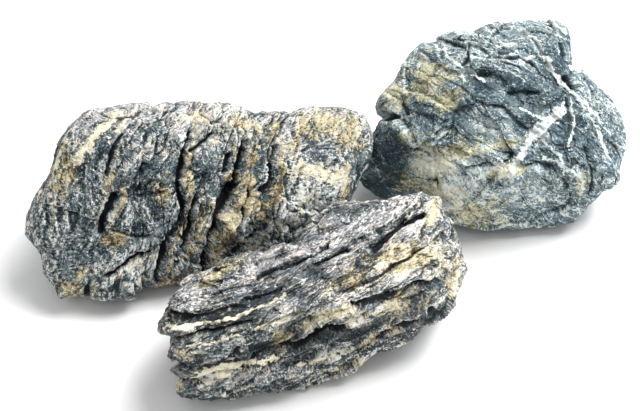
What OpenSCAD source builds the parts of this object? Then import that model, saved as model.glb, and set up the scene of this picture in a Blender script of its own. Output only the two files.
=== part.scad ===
// Three loose pieces of black seiryu stone, lying together as a small rock setting.
// Millimetres, +Z up, standing on z = 0, with the origin under the middle of the group.
//
// Each stone has a heart, the point that its surface is measured from, and a broad face that
// leans back. In a stone's own frame x runs along the face, y up the face and z straight out of
// it. An outline is drawn on that face, and the body swells in front of it and behind it.

/* [Group] */
// How far the broad faces lean back from upright, degrees
lean = 42; // [38:1:46]
// Flatness of the swelling of a stone: 2 is an ellipsoid, more is boxier
fullness = 2.9; // [2:0.1:4]
// Sharpness of the edges where two broken facets meet
crispness = 12; // [6:1:20]

/* [Fissured stone] */
// Length of the fissured stone along its broad face
fissured_len = 202; // [190:1:210]
// Height of its heart above the ground
fissured_rise = 38; // [36:1:42]
// How far its body stands out in front of its outline
fissured_front = 40; // [34:1:44]
// How far its body reaches behind its outline
fissured_back = 58; // [50:1:62]
// Depth of its deepest fissures
fissured_cut = 7; // [3:0.5:9]

/* [Veined stone] */
// Length of the veined stone along its broad face
veined_len = 167; // [155:1:172]
// Height of its heart above the ground
veined_rise = 52; // [48:1:56]
// How far its body stands out in front of its outline
veined_front = 50; // [42:1:54]
// How far its body reaches behind its outline
veined_back = 64; // [54:1:70]

/* [Layered stone] */
// Length of the layered stone along its broad face
layered_len = 169; // [156:1:174]
// Height of its heart above the ground
layered_rise = 34; // [32:1:38]
// How far its body stands out in front of its outline
layered_front = 52; // [44:1:54]
// How far its body reaches behind its outline
layered_back = 46; // [40:1:50]
// Height of one ledge in the stack of layers
layered_gap = 13; // [9:1:18]
// How far a ledge stands out over the next
layered_step = 4; // [1:0.5:5]

/* [Mesh] */
// Rings of points along each stone
rings = 46; // [24:2:46]
// Points round each ring
ring_points = 60; // [32:4:60]

/* [Hidden] */

// Hearts of the stones on the ground plan, and how much each face turns away to the right
fissured_at = [-82, 4];
fissured_skew = 0.2;
veined_at = [102, 58];
veined_skew = 0;
layered_at = [-13, -73];
layered_skew = 0.3;

// Gap that the soft foot of a stone keeps above the ground, so that only its lumps touch
foot_gap = 0.2;
// Closer to the ground than this is on the ground
touching = 0.001;
// Lumps of the surface: height, and the two lengths that they repeat at
lump = 1.6;
lump_long = 47;
lump_short = 21;
// Share of a facet that reaches a place, which fades over this much turn towards the outline
facet_fade = 0.16;

// Outlines on the broad face, round the heart from the left end, against the clock
fissured_drawn_len = 202;
fissured_outline = [
    [-99, -8], [-98, -20], [-90, -30], [-89, -41], [-82, -49], [-80, -56], [-69, -55],
    [-64, -58], [-55, -58], [-43, -57], [-33, -52], [-20, -50], [8, -43], [25, -36], [48, -28],
    [71, -13], [82, -4], [90, 1], [98, 20], [103, 27], [103, 45], [98, 54], [90, 57], [77, 58],
    [61, 57], [54, 54], [33, 53], [20, 57], [0, 60], [-18, 59], [-28, 55], [-33, 58],
    [-50, 55], [-66, 52], [-73, 46], [-81, 33], [-87, 14], [-93, 5]
];
veined_drawn_len = 167;
veined_outline = [
    [-80, -7], [-83, -24], [-88, -31], [-82, -41], [-69, -47], [-50, -52], [-26, -60], [-7, -66],
    [20, -64], [35, -62], [46, -59], [55, -49], [64, -40], [71, -37], [76, -23], [79, -11],
    [79, -1], [72, 15], [61, 26], [51, 35], [42, 32], [41, 50], [39, 59], [34, 64], [18, 68],
    [2, 65], [-12, 62], [-16, 58], [-28, 60], [-43, 54], [-49, 54], [-61, 42], [-65, 32],
    [-77, 16], [-76, 11], [-69, 7], [-74, 4]
];
layered_drawn_len = 169;
layered_outline = [
    [-80, -7], [-83, -14], [-75, -19], [-78, -27], [-72, -32], [-77, -36], [-71, -39],
    [-74, -48], [-70, -50], [-51, -50], [-43, -51], [-23, -48], [-2, -50], [13, -42], [23, -34],
    [37, -28], [48, -24], [53, -18], [60, -13], [72, -7], [79, 0], [84, 7], [86, 17], [80, 37],
    [73, 50], [70, 57], [64, 58], [42, 53], [22, 52], [10, 51], [2, 42], [-11, 31], [-27, 26],
    [-55, 16], [-73, 6]
];

// Broken facets: the point of each that lies nearest to the heart
fissured_facets = [
    [-5, -3, 31], [3, 6, 31], [12, -26, 25], [-4, 39, 30], [-82, 6, 30], [88, 16, 24],
    [10, -42, -36], [-70, 10, -58], [70, 28, -58], [0, 46, -46]
];
veined_facets = [
    [-4, 4, 43], [-10, 36, 36], [38, 8, 40], [8, -38, 34], [-40, -20, 40], [-42, 20, 36],
    [-36, -30, -60], [46, -20, -56], [-20, 50, -50], [38, 48, -50]
];
layered_facets = [
    [-8, 21, 23], [3, -22, 26], [-78, -12, 18], [74, 16, 26],
    [-10, 36, -36], [60, 38, -38], [-72, 8, -42]
];

// Open fissures of the broad face: where each starts and ends, its half width, and its depth
// as a share of the deepest
fissured_clefts = [
    [-8, 42, -24, -14, 4, 0.6], [25, 35, 15, -2, 4.5, 1], [15, -2, 2, -42, 4.5, 0.9],
    [46, 30, 40, 8, 3, 0.6], [-48, 38, -55, 14, 3.5, 0.5], [-51, 4, -58, -17, 4, 0.8],
    [-31, -33, -54, -42, 3.5, 0.5], [29, -22, 20, -31, 4, 0.5]
];
veined_clefts = [
    [18, 62, 38, 29, 4.5, 0.6], [38, 29, 75, -17, 5, 0.5], [-14, 46, 21, 40, 3.5, 0.4],
    [-22, 38, -7, 33, 3.5, 0.5], [8, 21, 22, 21, 3, 0.4], [-15, 54, -23, 41, 3, 0.4]
];
layered_clefts = [
    [30, -14, 8, -16, 4, 1], [8, -16, -10, -26, 4.5, 1], [-10, -26, -45, -36, 3.5, 0.8],
    [66, 46, 38, 36, 3, 0.5], [38, 36, 32, 28, 3, 0.5]
];

// An outline as [angle, radius] rows, with a lap before it and a lap after it
function lap(rows, turn) = [for (row = rows) [row[0] + turn, row[1]]];
function polar(outline) =
    let (rows = [for (corner = outline) [atan2(corner.y, corner.x), norm(corner)]])
    concat(lap(rows, -360), rows, lap(rows, 360));

function total(values) = values * [for (value = values) 1];

// Direction from the heart, for a ring at one angle along the stone and a place round the ring
function way(half, along, round) =
    let (v = [half.x * cos(along),
              half.y * sin(along) * cos(round),
              half.z * sin(along) * sin(round)])
    v / norm(v);

// Distance from the heart to the smooth body: the swelling over the outline, cut by the facets
function smooth_reach(way, rim, front, back, facets, foot) =
    let (across = norm([way.x, way.y]) / lookup(atan2(way.y, way.x), rim),
         out = abs(way.z) / (way.z > 0 ? front : back),
         swelling = pow(pow(across, fullness) + pow(out, fullness), crispness / fullness),
         shown = 1 - exp(-pow(way.z / facet_fade, 2)),
         cuts = [for (facet = facets) pow(max(0, way * facet) / (facet * facet), crispness)],
         stand = pow(max(0, way * foot) / (foot * foot), crispness))
    pow(swelling + shown * total(cuts) + stand, -1 / crispness);

// Distance of a place on the broad face from a stretch between two ends
function off_line(place, a, b) =
    let (share = min(1, max(0, ((place - a) * (b - a)) / ((b - a) * (b - a)))))
    norm(place - a - share * (b - a));

// Depth of the clefts at a place on the broad face
function cleft_depth(place, clefts) =
    total([for (c = clefts)
        c[5] * exp(-pow(off_line(place, [c[0], c[1]], [c[2], c[3]]) / c[4], 2))]);

// Height of the lumps at a point of the body
function lumps(p) =
    lump * (sin(360 * (p.x + 0.4 * p.y) / lump_long) * cos(360 * (p.y - p.z) / lump_long)
        + 0.6 * sin(360 * (p.y + 0.5 * p.z) / lump_short) * sin(360 * (p.x - p.z) / lump_short));

// Height of the ledges: a ledge rises slowly and falls off sharply across the layers,
// which run up to the right on the broad face
function ledges(p, gap, step) =
    let (turn = (-0.45 * p.x + 0.9 * p.y - 0.1 * p.z + 3 * sin(360 * p.x / 83)) / gap,
         share = turn - floor(turn))
    step * (share < 0.8 ? share / 0.8 : (1 - share) / 0.2) - step / 2;

// One stone. Its surface is one reach from the heart in every direction, so the shell is
// closed and never folds, and the part below the ground is cut off flat.
module stone(outline, size, front, back, facets, clefts, cleft, skew, at,
             ledge_gap = 1, ledge_step = 0) {
    rim = polar(outline * size);
    half = [max([for (c = outline) c.x]), max([for (c = outline) c.y]), (front + back) / 2];
    up = [-skew * sin(lean), cos(lean), sin(lean)];
    foot = -up * (at.z - foot_gap) / (up * up);
    reach = function (d)
        let (smooth = smooth_reach(d, rim, front, back, facets * size, foot),
             p = smooth * d,
             facing = min(1, max(0, d.z * 4)),
             rough = min(1, 0.25 + abs(d.z) * 2),
             cut = cleft * facing * cleft_depth([p.x, p.y] / size, clefts),
             far = smooth + rough * lumps(p) + facing * ledges(p, ledge_gap, ledge_step) - cut,
             fall = -(d * up))
        fall > 0 ? min(far, at.z / fall) : far;
    placed = function (p)
        let (out = p.z - skew * p.x,
             z = at.z + p.y * cos(lean) + out * sin(lean))
        [at.x + p.x, at.y + p.y * sin(lean) - out * cos(lean), z < touching ? 0 : z];
    ends = [[1, 0, 0], [-1, 0, 0]];
    ways = [for (i = [1 : rings], j = [0 : ring_points - 1])
        way(half, 180 * i / (rings + 1), 360 * j / ring_points)];
    last = rings * ring_points;
    skin = [for (i = [0 : rings - 2], j = [0 : ring_points - 1])
        let (a = i * ring_points + j,
             b = i * ring_points + (j + 1) % ring_points)
        each [[a, b, b + ring_points], [a, b + ring_points, a + ring_points]]];
    right_cap = [for (j = [0 : ring_points - 1]) [last, (j + 1) % ring_points, j]];
    left_cap = [for (j = [0 : ring_points - 1])
        [last + 1, last - ring_points + j, last - ring_points + (j + 1) % ring_points]];
    polyhedron([for (d = concat(ways, ends)) placed(reach(d) * d)],
               concat(skin, right_cap, left_cap));
}

// The long blocky stone on the left, with open fissures down its face
module fissured_stone()
    color("#4d555b")
    stone(fissured_outline, fissured_len / fissured_drawn_len, fissured_front, fissured_back,
          fissured_facets, fissured_clefts, fissured_cut, fissured_skew,
          [fissured_at.x, fissured_at.y, fissured_rise]);

// The rounded stone behind on the right, crossed by pale veins
module veined_stone()
    color("#5b666c")
    stone(veined_outline, veined_len / veined_drawn_len, veined_front, veined_back,
          veined_facets, veined_clefts, fissured_cut, veined_skew,
          [veined_at.x, veined_at.y, veined_rise]);

// The low stone in front, a stack of thin layers broken off in ledges
module layered_stone()
    color("#6a6a60")
    stone(layered_outline, layered_len / layered_drawn_len, layered_front, layered_back,
          layered_facets, layered_clefts, fissured_cut, layered_skew,
          [layered_at.x, layered_at.y, layered_rise], layered_gap, layered_step);

fissured_stone();
veined_stone();
layered_stone();
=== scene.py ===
from itertools import product
from math import radians

import bpy
import numpy as np
from bpy.props import (FloatProperty, FloatVectorProperty, IntProperty, IntVectorProperty,
                       PointerProperty)
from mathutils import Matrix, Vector


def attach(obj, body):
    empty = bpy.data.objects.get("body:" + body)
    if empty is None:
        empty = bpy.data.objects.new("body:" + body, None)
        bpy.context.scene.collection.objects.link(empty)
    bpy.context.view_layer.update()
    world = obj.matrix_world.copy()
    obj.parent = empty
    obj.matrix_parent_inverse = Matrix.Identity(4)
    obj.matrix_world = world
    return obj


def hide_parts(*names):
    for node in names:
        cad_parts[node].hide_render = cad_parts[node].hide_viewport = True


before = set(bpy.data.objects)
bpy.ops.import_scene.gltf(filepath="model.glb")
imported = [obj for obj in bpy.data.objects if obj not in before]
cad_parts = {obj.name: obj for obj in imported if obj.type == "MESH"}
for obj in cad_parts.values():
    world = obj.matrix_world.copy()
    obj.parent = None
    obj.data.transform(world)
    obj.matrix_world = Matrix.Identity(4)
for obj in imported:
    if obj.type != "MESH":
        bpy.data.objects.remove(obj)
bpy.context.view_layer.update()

bl_info = {
    "name": "Seiryu stone group",
    "version": (1, 0, 0),
    "blender": (4, 5, 0),
    "location": "3D View > Sidebar > Stones",
    "description": "Builds a group of three weathered aquascaping stones",
    "category": "Add Mesh",
}

MM = 0.001
LEFT_STONE, RIGHT_STONE, FRONT_STONE = "fissured_stone", "veined_stone", "layered_stone"
BODY = "root"
TABLE = 256                 # how many random values each pattern draws from, a power of 2
FAR = 9.0                   # stands for a place that lies off everything
CUT_FADE = (-4, 8)          # the clefts fade in from behind to before the heart, millimetres
DRAWN_FADE = (-6, 4)        # so do the drawn patches, veins and shades
BACK_CRUST = -0.45          # the patch field on the back, where none is drawn
STREAK_CRUST = 0.7          # how much more crust a light streak takes
RAISE_ROUNDS = 8            # rounds of blurring: of the directions that the relief rises in,
NEAR_ROUNDS, WIDE_ROUNDS = 3, 40    # of a place's surroundings, nearby and farther off,
UP_ROUNDS = 12              # and of how far up a place faces
CHIP_SEED = 91              # keeps the chips' random draws apart from the cells'
DARK_WIDTH, DARK_DEPTH = 1.25, 5    # a cleft's floor, painted dark as shade: half widths, and depth of full dark
STAIN_OFF, STAIN_WIDTH, STAIN_DEPTH = 3, 1.4, 9     # its stained wall, likewise

# ---- Shapes drawn

# In millimetres on each stone's broad face: x along it, y up it, z out of it, from its heart

FISSURED_OUTLINE = [
    (-99, -8), (-98, -20), (-90, -30), (-89, -41), (-82, -49), (-80, -56), (-69, -55),
    (-64, -58), (-55, -58), (-43, -57), (-33, -52), (-20, -50), (8, -43), (25, -36), (48, -28),
    (71, -13), (82, -4), (90, 1), (98, 20), (103, 27), (103, 45), (98, 54), (90, 57), (77, 58),
    (61, 57), (54, 54), (33, 53), (20, 57), (0, 60), (-18, 59), (-28, 55), (-33, 58),
    (-50, 55), (-66, 52), (-73, 46), (-81, 33), (-87, 14), (-93, 5),
]
VEINED_OUTLINE = [
    (-80, -7), (-83, -24), (-88, -31), (-82, -41), (-69, -47), (-50, -52), (-26, -60), (-7, -66),
    (20, -64), (35, -62), (46, -59), (55, -49), (64, -40), (71, -37), (76, -23), (79, -11),
    (79, -1), (72, 15), (61, 26), (51, 35), (42, 32), (41, 50), (39, 59), (34, 64), (18, 68),
    (2, 65), (-12, 62), (-16, 58), (-28, 60), (-43, 54), (-49, 54), (-61, 42), (-65, 32),
    (-77, 16), (-76, 11), (-69, 7), (-74, 4),
]
LAYERED_OUTLINE = [
    (-80, -7), (-83, -14), (-75, -19), (-78, -27), (-72, -32), (-77, -36), (-71, -39),
    (-74, -48), (-70, -50), (-51, -50), (-43, -51), (-23, -48), (-2, -50), (13, -42), (23, -34),
    (37, -28), (48, -24), (53, -18), (60, -13), (72, -7), (79, 0), (84, 7), (86, 17), (80, 37),
    (73, 50), (70, 57), (64, 58), (42, 53), (22, 52), (10, 51), (2, 42), (-11, 31), (-27, 26),
    (-55, 16), (-73, 6),
]

# Broken facets: the point of each that lies nearest to the heart
FISSURED_FACETS = [
    (-5, -3, 31), (3, 6, 31), (12, -26, 25), (-4, 39, 30), (-82, 6, 30), (88, 16, 24),
    (10, -42, -36), (-70, 10, -58), (70, 28, -58), (0, 46, -46),
]
VEINED_FACETS = [
    (-4, 4, 43), (-10, 36, 36), (38, 8, 40), (8, -38, 34), (-40, -20, 40), (-42, 20, 36),
    (-36, -30, -60), (46, -20, -56), (-20, 50, -50), (38, 48, -50),
]
LAYERED_FACETS = [
    (-8, 21, 23), (3, -22, 26), (-78, -12, 18), (74, 16, 26),
    (-10, 36, -36), (60, 38, -38), (-72, 8, -42),
]

# Open clefts: half width, depth, and the line that each follows
FISSURED_CLEFTS = [
    (1.2, 8, [(-3, 41), (-8, 20)]),
    (1.6, 9, [(-8, 20), (-8, 5), (-6, -4), (-9, -13), (-17, -25), (-19, -33), (-22, -46)]),
    (1.4, 11, [(29, 35), (26, 22), (22, 9)]),
    (3.0, 17, [(22, 9), (17, -2), (14, -13)]),
    (2.2, 14, [(14, -13), (10, -25), (6, -33), (4, -43)]),
    (1.5, 11, [(47, 30), (44, 16), (42, 9)]),
    (2.2, 9, [(42, 9), (38, 6)]),
    (1.6, 7, [(19, 27), (17, 18)]),
    (1.0, 4.5, [(-42, 39), (-46, 29), (-49, 15)]),
    (1.6, 8, [(-45, 4), (-49, -5), (-52, -12), (-53, -18)]),
    (0.8, 2.5, [(-47, 3), (-42, 4), (-37, 2), (-28, 4), (-18, 5)]),
    (0.7, 1.6, [(-50, -16), (-34, -20), (-18, -20)]),
    (1.2, 6, [(-26, -30), (-36, -33), (-45, -40), (-50, -42)]),
    (1.8, 6, [(-62, -50), (-63, -58)]),
    (1.6, 7, [(33, -20), (22, -30)]),
    (1.1, 5, [(9, 40), (4, 34), (-2, 29)]),
    (0.9, 3.5, [(-28, 22), (-33, 4)]),
    (1.1, 6, [(1, 4), (-2, -12), (-7, -30)]),
    (0.9, 5, [(31, 6), (27, -10), (24, -22)]),
    (0.9, 3, [(62, 20), (56, 4)]),
]
VEINED_CLEFTS = [
    (1.0, 2.6, [(-21, 49), (-24, 40), (-28, 35)]),
    (0.9, 2.6, [(-19, 42), (-5, 40), (7, 39), (15, 34)]),
    (1.1, 2.6, [(-27, 34), (-20, 31), (-12, 28)]),
    (1.0, 2.6, [(1, 17), (9, 18), (16, 17)]),
    (0.9, 2.6, [(11, 58), (19, 46), (23, 34), (29, 23), (39, 17), (48, 5), (56, -8)]),
    (1.2, 3, [(-20, 12), (-3, 7), (6, -3), (14, -8)]),
    (1.2, 3, [(-3, -24), (14, -23), (25, -26), (37, -38)]),
    (1.3, 3.5, [(46, -14), (52, -29), (53, -42)]),
    (1.2, 3, [(-62, 3), (-54, -9), (-51, -14)]),
    (1.1, 3, [(-26, -28), (-12, -26)]),
    (1.8, 5, [(-80, 6), (-72, 5), (-66, 6)]),
    (0.9, 2.4, [(34, 13), (36, -4), (34, -16)]),
    (1.4, 4, [(34, 27), (40, 20)]),
]
LAYERED_CLEFTS = [
    (1.4, 6, [(26, -12), (7, -13), (-9, -22), (-25, -24), (-42, -33)]),
    (1.4, 6, [(60, 47), (47, 41), (36, 33), (31, 28)]),
    (1.3, 5, [(66, 13), (43, 7), (20, 1)]),
    (1.0, 4, [(-80, -16), (-61, -13), (-47, -11), (-33, -7)]),
    (1.1, 4, [(-76, -30), (-50, -27), (-30, -18)]),
    (1.1, 4, [(-70, -40), (-46, -38), (-20, -33), (4, -30)]),
    (1.1, 4, [(0, 20), (18, 29)]),
    (1.3, 5, [(18, -26), (44, -12), (64, -4)]),
    (1.1, 4, [(-30, 14), (-10, 22), (6, 30)]),
    (0.9, 3, [(-38, 2), (-28, 4), (-18, 8)]),
]

# Pale veins: half width and the line that each follows
FISSURED_VEINS = [
    (1.6, [(-46, 51), (-52, 44), (-57, 36), (-67, 22)]),
    (0.8, [(-48, 54), (-43, 52), (-42, 46), (-45, 40)]),
    (3.0, [(60, 20), (70, 18), (85, 13)]),
    (1.0, [(-74, 36), (-82, 12)]),
    (0.6, [(50, 28), (58, 8), (62, -8)]),
    (0.6, [(68, 8), (58, -10)]),
]
VEINED_VEINS = [
    (2.1, [(31, 9), (27, 5), (20, 1), (16, -5), (12, -9)]),
    (1.5, [(12, -9), (8, -14), (7, -19), (2, -24), (0, -33)]),
    (0.7, [(33, 6), (24, 1), (17, -7)]),
    (0.9, [(12, 59), (20, 47), (24, 35), (30, 24), (40, 18), (49, 6), (57, -7), (65, -20)]),
    (0.7, [(36, 15), (38, -3), (36, -16)]),
    (0.7, [(19, -11), (30, -20), (33, -31)]),
    (0.7, [(19, -20), (44, -31), (47, -38)]),
    (0.6, [(2, 42), (10, 39), (17, 41)]),
    (0.6, [(-40, 50), (-27, 34), (-14, 25)]),
    (0.6, [(6, 8), (28, -1)]),
    (0.6, [(46, 14), (58, 2), (66, -6)]),
    (0.5, [(-10, 60), (-4, 48), (12, 48)]),
]
LAYERED_VEINS = [
    (0.7, [(-78, -12), (-61, -9), (-47, -7), (-37, -5), (-25, 1), (-16, 5)]),
    (1.0, [(-60, -36), (-44, -32), (-20, -29)]),
    (0.7, [(-30, -12), (-12, -6)]),
    (0.7, [(-64, -20), (-50, -18), (-40, -14)]),
    (0.7, [(-10, -34), (6, -30), (20, -24)]),
]

# Crusted patches: middle, half length, half width, and how far each is turned, degrees
FISSURED_PATCHES = [
    (-75, 16, 9, 16, -12), (-71, -51, 8, 8, 30), (-64, -42, 3, 8, -20), (27, 45, 12, 7, -10),
    (33, 24, 4, 10, -12), (31, -2, 11, 7, -15), (44, 41, 4, 10, -25), (70, 46, 14, 10, 0),
    (90, 42, 11, 13, 0), (87, 10, 4, 15, -5), (58, 38, 4, 12, -15), (3, -15, 5, 18, -20),
    (-46, -21, 7, 5, 20), (-14, -46, 16, 7, 10), (-18, 6, 5, 9, -15), (-48, 12, 3, 8, -15),
    (12, -30, 5, 9, -15), (40, -8, 6, 6, 30), (2, 50, 9, 5, 0), (-4, 12, 3, 9, -15),
]
VEINED_PATCHES = [
    (-67, 18, 11, 10, 0), (-46, 26, 15, 16, -20), (-36, 14, 10, 9, 0), (-34, -18, 26, 7, 12),
    (-46, -24, 14, 12, -20), (-45, -38, 24, 12, -30), (-18, -54, 24, 11, -5),
    (-10, -30, 8, 4, 0), (46, -36, 5, 9, 20), (0, -28, 8, 6, 20), (-8, -14, 14, 4, 10),
    (-58, -8, 8, 4, 0),
]
LAYERED_PATCHES = [
    (51, 22, 30, 10, 10), (18, 12, 18, 5, 25), (36, -4, 32, 7, 15), (5, -6, 16, 5, 20),
    (77, 16, 9, 13, 0), (-48, 18, 15, 4, 35), (-67, -23, 11, 5, 10), (66, 49, 5, 10, -20),
    (-47, -36, 13, 3, 10), (-16, -18, 6, 8, -20), (36, -19, 15, 4, 25), (-2, -10, 8, 4, 20),
    (-8, 38, 8, 3, 20), (-74, -42, 6, 4, 0), (20, -36, 14, 3, 22), (-66, -14, 12, 3, 4),
]

# Broad light and dark areas, partly the rock's own tone and partly painted shadow on faces in
# shade, such as undersides: middle, half length, half width, turn in degrees, and change
FISSURED_SHADES = [
    (64, -2, 20, 18, 50, 0.3), (-60, -4, 34, 32, 0, -0.3), (42, -33, 38, 5, 26, -1.0),
    (0, 54, 100, 10, 0, 0.2), (-62, -42, 20, 9, 0, 0.1), (-26, 30, 14, 10, -10, 0.2),
    (49, 10, 7, 14, -18, -1.2), (-49, -46, 10, 6, 20, -0.6), (3, 16, 6, 16, -15, -0.35),
    (50, -12, 10, 6, 30, 0.4), (-14, -42, 14, 8, 0, 0.3), (-84, 30, 8, 14, -15, -0.4),
    (-20, -4, 6, 14, -10, -0.4), (18, -28, 9, 9, -20, -0.6), (-40, 28, 8, 8, 0, -0.4),
    (-64, 28, 20, 10, 15, -0.5), (-20, 4, 10, 12, -10, -0.3),
]
VEINED_SHADES = [
    (-76, -20, 20, 24, 0, -0.7), (14, 47, 20, 14, 0, -0.15), (8, 24, 34, 10, -15, -0.2),
    (-10, 2, 14, 9, 0, 0.5), (42, -6, 24, 16, -20, -0.4),
    (-6, -20, 20, 5, 0, -0.3), (-52, 2, 12, 6, 0, -0.3), (26, 34, 8, 8, 0, -0.8),
    (-32, 3, 10, 8, 0, -0.5), (-20, 22, 10, 7, 0, -0.4), (-24, -32, 28, 18, 0, 0.3),
    (-20, -9, 9, 4, 0, -0.4), (10, -1, 9, 7, 0, -0.5), (14, 12, 10, 4, -15, 0.3),
    (-47, -24, 16, 9, -10, 0.7), (-66, 24, 9, 10, 0, 0.4), (-46, 33, 8, 8, 0, 0.3),
    (-4, -34, 8, 6, 0, -0.4), (-10, 22, 60, 24, 0, -0.3), (-15, -44, 46, 12, 0, 0.4),
    (26, -18, 12, 7, 0, -0.4), (-44, 13, 12, 7, 0, -0.3),
]
LAYERED_SHADES = [
    (43, 5, 26, 2.0, 14, -1.0), (-46, 19, 10, 8, 30, -0.5), (-10, -24, 26, 3, 22, -0.5),
    (-34, -40, 26, 6, 5, 0.35), (19, 53, 16, 6, 0, -0.7), (-60, -32, 20, 3, 5, -0.4),
    (-18, -4, 8, 7, 0, 0.4), (44, -16, 30, 4, 24, -0.5), (20, 34, 44, 12, 25, 0.05),
    (28, -5, 24, 6, 18, 0.7), (-29, 4, 13, 4, 15, -0.8), (28, 22, 8, 5, 30, -0.9),
    (19, 12, 10, 5, 25, -1.1), (-52, -5, 22, 5, 6, -0.6), (-2, -16, 8, 9, 0, 0.4),
    (55, 14, 16, 5, 10, 0.7), (-22, -21, 12, 3, 20, -0.5), (24, -17, 12, 3, 20, -0.6),
    (29, -6, 14, 5, 18, 0.5), (-24, 23, 20, 5, 20, 0.35), (-24, -6, 10, 4, 15, -0.4),
]

# ---- Patterns worked out over whole arrays of points


def cell_numbers(order, cell):
    """The random number of every cell, which depends on its place in x, in y and in z."""
    x, y, z = (cell & (TABLE - 1)).T
    return order[(order[(order[x] + y) & (TABLE - 1)] + z) & (TABLE - 1)]


def gradient_noise(points, seed, gain=1.6):
    """Smooth noise of about -1 to 1. Every corner of the unit cell round a point has a random
    slope. The heights that the eight slopes give are blended by 6f^5 - 15f^4 + 10f^3, where f
    is the place in the cell."""
    rng = np.random.default_rng(seed)
    order = rng.permutation(TABLE)
    slopes = rng.normal(size=(TABLE, 3))
    slopes /= np.linalg.norm(slopes, axis=1, keepdims=True)
    cell = np.floor(points).astype(int)
    place = points - cell
    blend = place ** 3 * (place * (place * 6 - 15) + 10)
    height = np.zeros(len(points))
    for corner in product((0, 1), repeat=3):
        slope = slopes[cell_numbers(order, cell + corner)]
        share = np.prod(np.where(corner, blend, 1 - blend), axis=1)
        height += share * ((place - corner) * slope).sum(axis=1)
    return height * gain


def fractal(points, size, seed, octaves=4, gain=0.5):
    """Sum of gradient noises, each at half the size and gain times the height of the last."""
    total, height, reach = np.zeros(len(points)), 1.0, 0.0
    for octave in range(octaves):
        total += height * gradient_noise(points * 2 ** octave / size, seed + octave)
        reach += height
        height *= gain
    return total / reach ** 0.5


def cells(points, seed):
    """One random point stands in every unit cell. Gives the distance to the nearest of them,
    the step from it, and its number."""
    rng = np.random.default_rng(seed)
    order = rng.permutation(TABLE)
    spots = rng.random((TABLE, 3))
    cell = np.floor(points).astype(int)
    place = points - cell
    least = np.full(len(points), FAR)
    nearest = np.zeros(len(points), int)
    step = np.zeros_like(points)
    for corner in product((-1, 0, 1), repeat=3):
        number = cell_numbers(order, cell + corner)
        away = place - corner - spots[number]
        far = np.linalg.norm(away, axis=1)
        closer = far < least
        least = np.where(closer, far, least)
        nearest = np.where(closer, number, nearest)
        step[closer] = away[closer]
    return least, step, nearest


def broken(points, seed, tilt=0.6, lift=0.4, limit=1.3):
    """Broken rock: every cell is a flat chip with its own tilt and its own height. Gives the
    height, from about -1 to 1, and a random shade for every chip."""
    rng = np.random.default_rng(seed + CHIP_SEED)
    tilts = rng.normal(size=(TABLE, 3)) * tilt
    heights = rng.normal(size=TABLE) * lift
    _, step, number = cells(points, seed)
    height = (step * tilts[number]).sum(axis=1) + heights[number]
    return np.clip(height, -limit, limit), rng.uniform(-1, 1, TABLE)[number]


def chipped(*layers):
    """Sum of layers of broken rock. Each is given by its points, its seed, its height, and its
    share of the shade."""
    height, shade = 0.0, 0.0
    for points, seed, high, share in layers:
        raised, tone = broken(points, seed)
        height = height + high * raised
        shade = shade + share * tone
    return height, shade


def saw(turns, fall=0.15):
    """Rises evenly from 0 to 1 over each turn, and drops back within the last part of it."""
    part = turns - np.floor(turns)
    return np.minimum(part / (1 - fall), (1 - part) / fall)


def seam(turns, width):
    """1 where a turn ends and the next one starts, falling to 0 over the width, in turns."""
    return np.exp(-((turns - np.round(turns)) / width) ** 2)


def off_path(places, path):
    """Distance of each place from a line of straight stretches, which is below 0 on its left.
    The nearest point of a stretch is the share of it, within 0 and 1, that a place projects to."""
    nearest = np.full(len(places), np.inf)
    side = np.ones(len(places))
    for start, end in zip(path, path[1:]):
        start, run = np.array(start, float), np.subtract(end, start).astype(float)
        away = places - start
        share = np.clip(away @ run / (run @ run), 0, 1)
        off = np.linalg.norm(away - share[:, None] * run, axis=1)
        turned = np.sign(run[1] * away[:, 0] - run[0] * away[:, 1]) * np.sign(run[1] + 1e-9)
        side = np.where(off < nearest, turned, side)
        nearest = np.minimum(nearest, off)
    return nearest * np.where(side < 0, -1, 1)


def smooth_step(values, low, high):
    """0 below low, 1 above high, and 3t^2 - 2t^3 between them."""
    share = np.clip((values - low) / (high - low), 0, 1)
    return share * share * (3 - 2 * share)


def off_oval(places, x, y, long, wide, turn):
    """How far each place lies off the middle of a turned oval, whose rim is at 1."""
    away = places - (x, y)
    c, s = np.cos(radians(turn)), np.sin(radians(turn))
    return np.hypot((away @ (c, s)) / long, (away @ (-s, c)) / wide)


def patch_field(places, patches):
    """1 in the middle of a patch, 0 at its rim and below 0 outside it."""
    field = np.full(len(places), -1.0)
    for oval in patches:
        field = np.maximum(field, 1 - off_oval(places, *oval))
    return field


def vein_field(places, veins):
    """How many half widths of the nearest drawn vein each place lies off it."""
    field = np.full(len(places), FAR)
    for half_width, path in veins:
        field = np.minimum(field, np.abs(off_path(places, path)) / half_width)
    return field


def shade_field(places, areas):
    """Sum of soft light and dark areas, which hold both the rock's own tone and painted shadow."""
    field = np.zeros(len(places))
    for *oval, change in areas:
        field += change * (1 - smooth_step(off_oval(places, *oval), 0.6, 1.25))
    return field


# ---- The body that every stone starts from


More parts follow.
